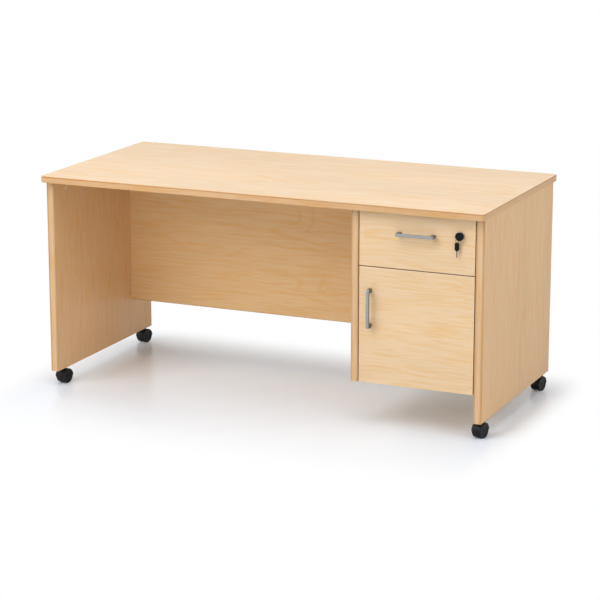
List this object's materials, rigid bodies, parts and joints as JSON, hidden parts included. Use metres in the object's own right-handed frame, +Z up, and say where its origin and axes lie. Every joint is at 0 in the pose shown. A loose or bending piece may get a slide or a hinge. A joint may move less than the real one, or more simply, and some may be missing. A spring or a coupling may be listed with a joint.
{
  "type": "pedestal desk",
  "caption": "Panel-ended office desk on castors with a modesty panel and a hung pedestal that holds a lockable drawer over a hinged cupboard door.",
  "frame": {"origin": "on the floor, under the middle of the worktop", "axes": "+X to the right seen from the sitter's side, +Y to the back, +Z up"},
  "size_m": [1.6, 0.75, 0.75],
  "materials": {
    "maple_top": "satin maple laminate",
    "maple_edge": "satin maple edge strip",
    "maple_panel": "satin maple laminate",
    "maple_front": "satin maple laminate",
    "drawer_box": "plain laminate",
    "back_board": "thin laminated board",
    "satin_metal": "satin nickel",
    "plated_steel": "nickel plated",
    "runner_steel": "zinc plated",
    "black_plastic": "moulded",
    "castor_plastic": "moulded nylon",
    "clear_rubber": "soft"
  },
  "bodies": {
    "carcass": {"worktop": "maple_top", "worktop_edging": "maple_edge", "left_end_panel": "maple_panel", "right_end_panel": "maple_panel", "panel_edgings": "maple_edge", "pedestal_side": "maple_panel", "modesty_panel": "maple_panel", "pedestal_back": "back_board", "pedestal_bottom": "maple_panel", "divider_board": "maple_panel", "shelf": "maple_panel", "shelf_pins": "plated_steel", "cam_fittings": "plated_steel", "cam_bolts": "plated_steel", "cam_caps": "maple_panel", "runner_outer_left": "runner_steel", "runner_outer_right": "runner_steel", "hinge_arms": "plated_steel", "hinge_plates": "plated_steel", "carcass_screws": "plated_steel", "lock_strike": "plated_steel", "door_buffers": "clear_rubber", "castor_sockets": "black_plastic", "castor_stems": "plated_steel"},
    "drawer": {"drawer_front": "maple_front", "drawer_side_left": "drawer_box", "drawer_side_right": "drawer_box", "drawer_back": "drawer_box", "drawer_bottom": "back_board", "runner_inner_left": "runner_steel", "runner_inner_right": "runner_steel", "drawer_handle": "satin_metal", "drawer_screws": "plated_steel", "lock_housing": "satin_metal", "lock_nut": "plated_steel"},
    "ball_cage_left": {"ball_cage_left": "plated_steel"},
    "ball_cage_right": {"ball_cage_right": "plated_steel"},
    "lock_barrel": {"lock_plug": "satin_metal", "lock_cam": "plated_steel", "lock_key": "black_plastic"},
    "key_ring": {"key_ring": "plated_steel"},
    "spare_key": {"spare_key_head": "black_plastic", "spare_key_blade": "plated_steel"},
    "door": {"door": "maple_front", "door_handle": "satin_metal", "door_screws": "plated_steel", "hinge_cups": "plated_steel", "hinge_pins": "plated_steel"},
    "front_left_castor": {"front_left_castor_hood": "castor_plastic"},
    "front_left_wheel_a": {"front_left_castor_wheel_a": "castor_plastic"},
    "front_left_wheel_b": {"front_left_castor_wheel_b": "castor_plastic"},
    "front_right_castor": {"front_right_castor_hood": "castor_plastic"},
    "front_right_wheel_a": {"front_right_castor_wheel_a": "castor_plastic"},
    "front_right_wheel_b": {"front_right_castor_wheel_b": "castor_plastic"},
    "back_left_castor": {"back_left_castor_hood": "castor_plastic"},
    "back_left_wheel_a": {"back_left_castor_wheel_a": "castor_plastic"},
    "back_left_wheel_b": {"back_left_castor_wheel_b": "castor_plastic"},
    "back_right_castor": {"back_right_castor_hood": "castor_plastic"},
    "back_right_wheel_a": {"back_right_castor_wheel_a": "castor_plastic"},
    "back_right_wheel_b": {"back_right_castor_wheel_b": "castor_plastic"}
  },
  "joints": [
    {"name": "drawer_slide", "type": "slide", "parent": "carcass", "child": "drawer", "axis": [0, -1, 0], "range_m": [0, 0.34]},
    {"name": "left_cage_slide", "type": "slide", "parent": "carcass", "child": "ball_cage_left", "axis": [0, -1, 0], "range_m": [0, 0.17]},
    {"name": "right_cage_slide", "type": "slide", "parent": "carcass", "child": "ball_cage_right", "axis": [0, -1, 0], "range_m": [0, 0.17]},
    {"name": "lock_turn", "type": "hinge", "parent": "drawer", "child": "lock_barrel", "pos_m": [0.711, -0.345, 0.668], "axis": [0, -1, 0], "range_deg": [0, 90]},
    {"name": "key_ring_hang", "type": "hinge", "parent": "lock_barrel", "child": "key_ring", "pos_m": [0.704, -0.3555, 0.661], "axis": [0, 1, 0], "range_deg": [0, 90]},
    {"name": "spare_key_swing", "type": "hinge", "parent": "key_ring", "child": "spare_key", "pos_m": [0.704, -0.3555, 0.646], "axis": [0, -1, 0], "range_deg": [-35, 35]},
    {"name": "door_swing", "type": "hinge", "parent": "carcass", "child": "door", "pos_m": [0.7495, -0.3367, 0.34475], "axis": [0, 0, 1], "range_deg": [0, 100]},
    {"name": "front_left_swivel", "type": "hinge", "parent": "carcass", "child": "front_left_castor", "pos_m": [-0.779, -0.295, 0.055], "axis": [0, 0, 1], "continuous": true},
    {"name": "front_left_wheel_a_spin", "type": "hinge", "parent": "front_left_castor", "child": "front_left_wheel_a", "pos_m": [-0.77671, -0.28424, 0.0248], "axis": [0.9781, -0.2079, 0], "continuous": true},
    {"name": "front_left_wheel_b_spin", "type": "hinge", "parent": "front_left_castor", "child": "front_left_wheel_b", "pos_m": [-0.77671, -0.28424, 0.0248], "axis": [0.9781, -0.2079, 0], "continuous": true},
    {"name": "front_right_swivel", "type": "hinge", "parent": "carcass", "child": "front_right_castor", "pos_m": [0.779, -0.295, 0.055], "axis": [0, 0, 1], "continuous": true},
    {"name": "front_right_wheel_a_spin", "type": "hinge", "parent": "front_right_castor", "child": "front_right_wheel_a", "pos_m": [0.77671, -0.30576, 0.0248], "axis": [0.9781, -0.2079, 0], "continuous": true},
    {"name": "front_right_wheel_b_spin", "type": "hinge", "parent": "front_right_castor", "child": "front_right_wheel_b", "pos_m": [0.77671, -0.30576, 0.0248], "axis": [0.9781, -0.2079, 0], "continuous": true},
    {"name": "back_left_swivel", "type": "hinge", "parent": "carcass", "child": "back_left_castor", "pos_m": [-0.779, 0.305, 0.055], "axis": [0, 0, 1], "continuous": true},
    {"name": "back_left_wheel_a_spin", "type": "hinge", "parent": "back_left_castor", "child": "back_left_wheel_a", "pos_m": [-0.77671, 0.31576, 0.0248], "axis": [0.9781, -0.2079, 0], "continuous": true},
    {"name": "back_left_wheel_b_spin", "type": "hinge", "parent": "back_left_castor", "child": "back_left_wheel_b", "pos_m": [-0.77671, 0.31576, 0.0248], "axis": [0.9781, -0.2079, 0], "continuous": true},
    {"name": "back_right_swivel", "type": "hinge", "parent": "carcass", "child": "back_right_castor", "pos_m": [0.779, 0.305, 0.055], "axis": [0, 0, 1], "continuous": true},
    {"name": "back_right_wheel_a_spin", "type": "hinge", "parent": "back_right_castor", "child": "back_right_wheel_a", "pos_m": [0.77671, 0.29424, 0.0248], "axis": [0.9781, -0.2079, 0], "continuous": true},
    {"name": "back_right_wheel_b_spin", "type": "hinge", "parent": "back_right_castor", "child": "back_right_wheel_b", "pos_m": [0.77671, 0.29424, 0.0248], "axis": [0.9781, -0.2079, 0], "continuous": true}
  ],
  "couplings": [
    {"joint": "left_cage_slide", "follows": "drawer_slide", "ratio": 0.5},
    {"joint": "right_cage_slide", "follows": "drawer_slide", "ratio": 0.5}
  ]
}
